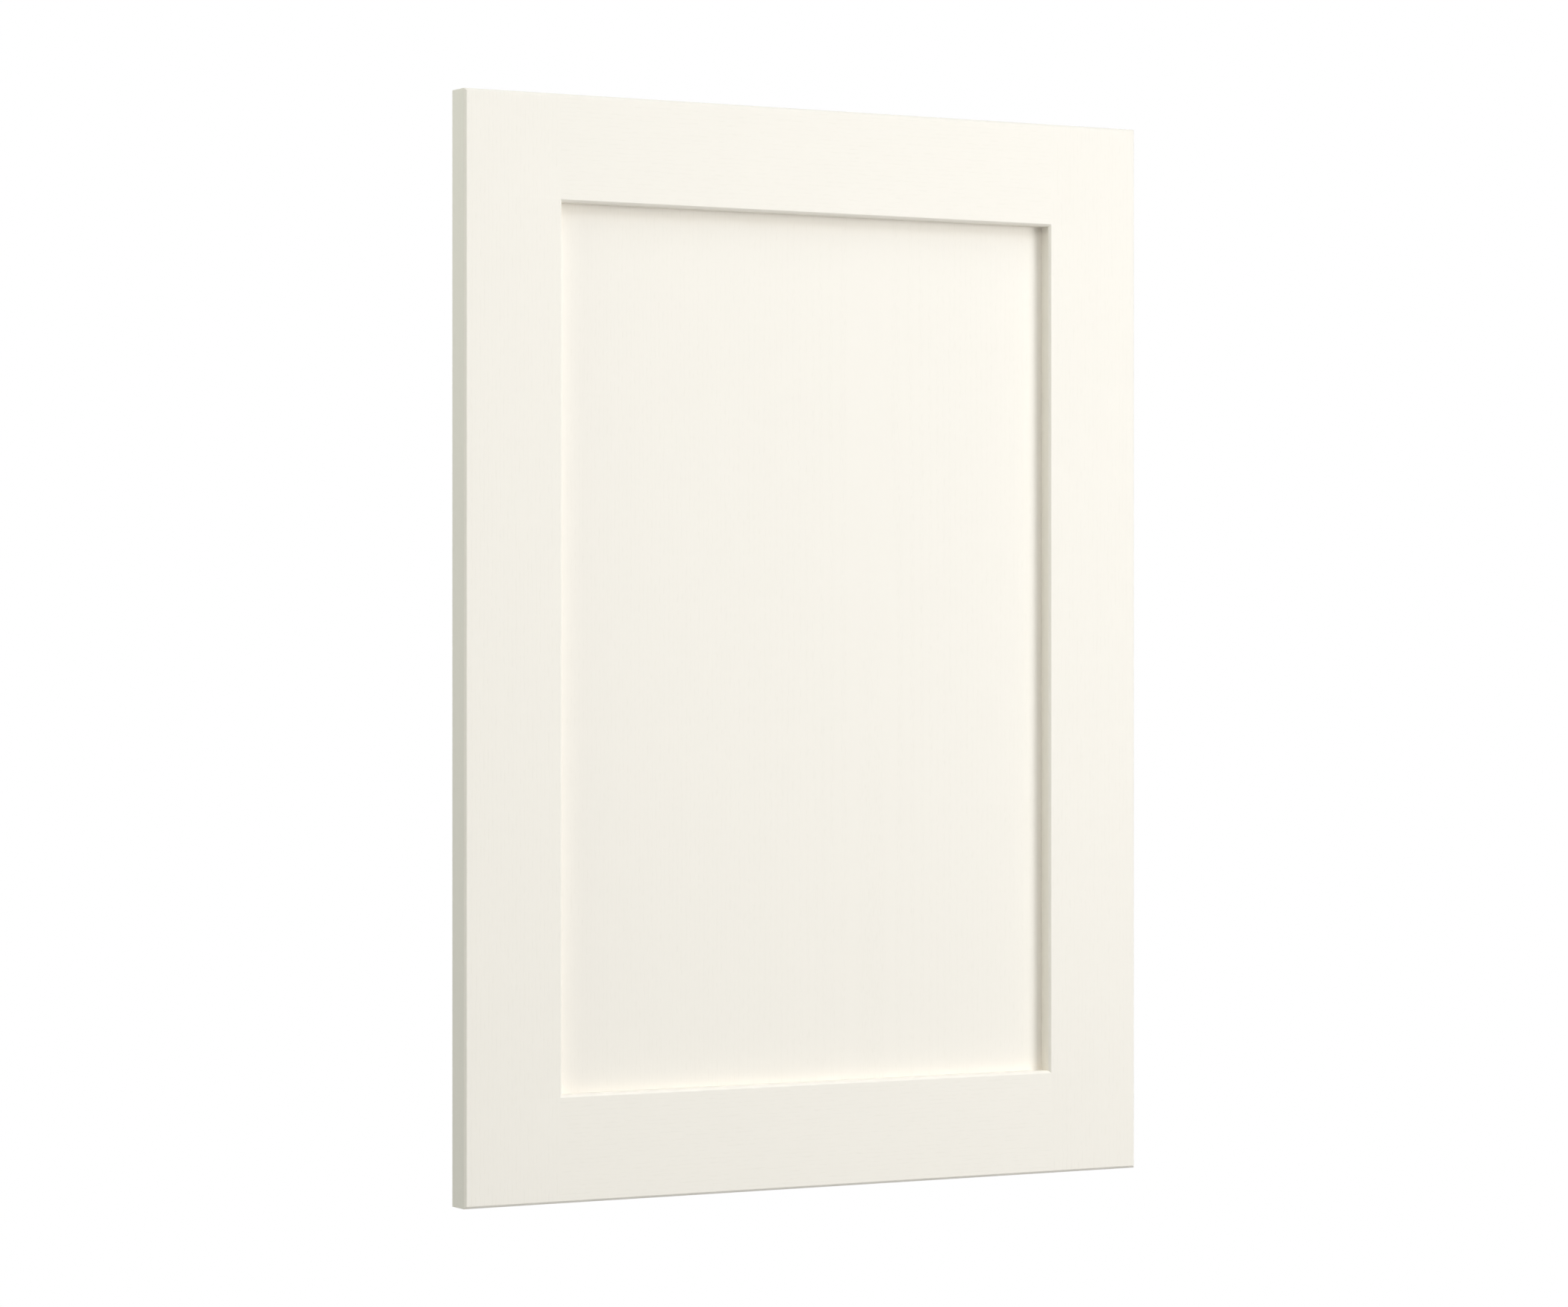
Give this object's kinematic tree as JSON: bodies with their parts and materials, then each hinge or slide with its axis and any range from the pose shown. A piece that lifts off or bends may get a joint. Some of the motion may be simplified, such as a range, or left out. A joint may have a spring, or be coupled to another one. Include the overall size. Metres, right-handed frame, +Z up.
{
  "type": "kitchen cabinet door",
  "caption": "Painted frame-and-panel door for a kitchen cabinet: bevelled stiles and rails round a recessed flat panel, with concealed-hinge bores in the back.",
  "frame": {"origin": "centre of the door's width and thickness, at its bottom edge", "axes": "+X across the door from its hinge-side stile to its opening-side stile, as seen from the front; +Y from the front face to the back; +Z up"},
  "size_m": [0.497, 0.019, 0.697],
  "materials": {
    "paint": "satin off-white paint over fine wood grain"
  },
  "bodies": {
    "root": {"left_stile": "paint", "right_stile": "paint", "top_rail": "paint", "bottom_rail": "paint", "centre_panel": "paint"}
  },
  "joints": []
}
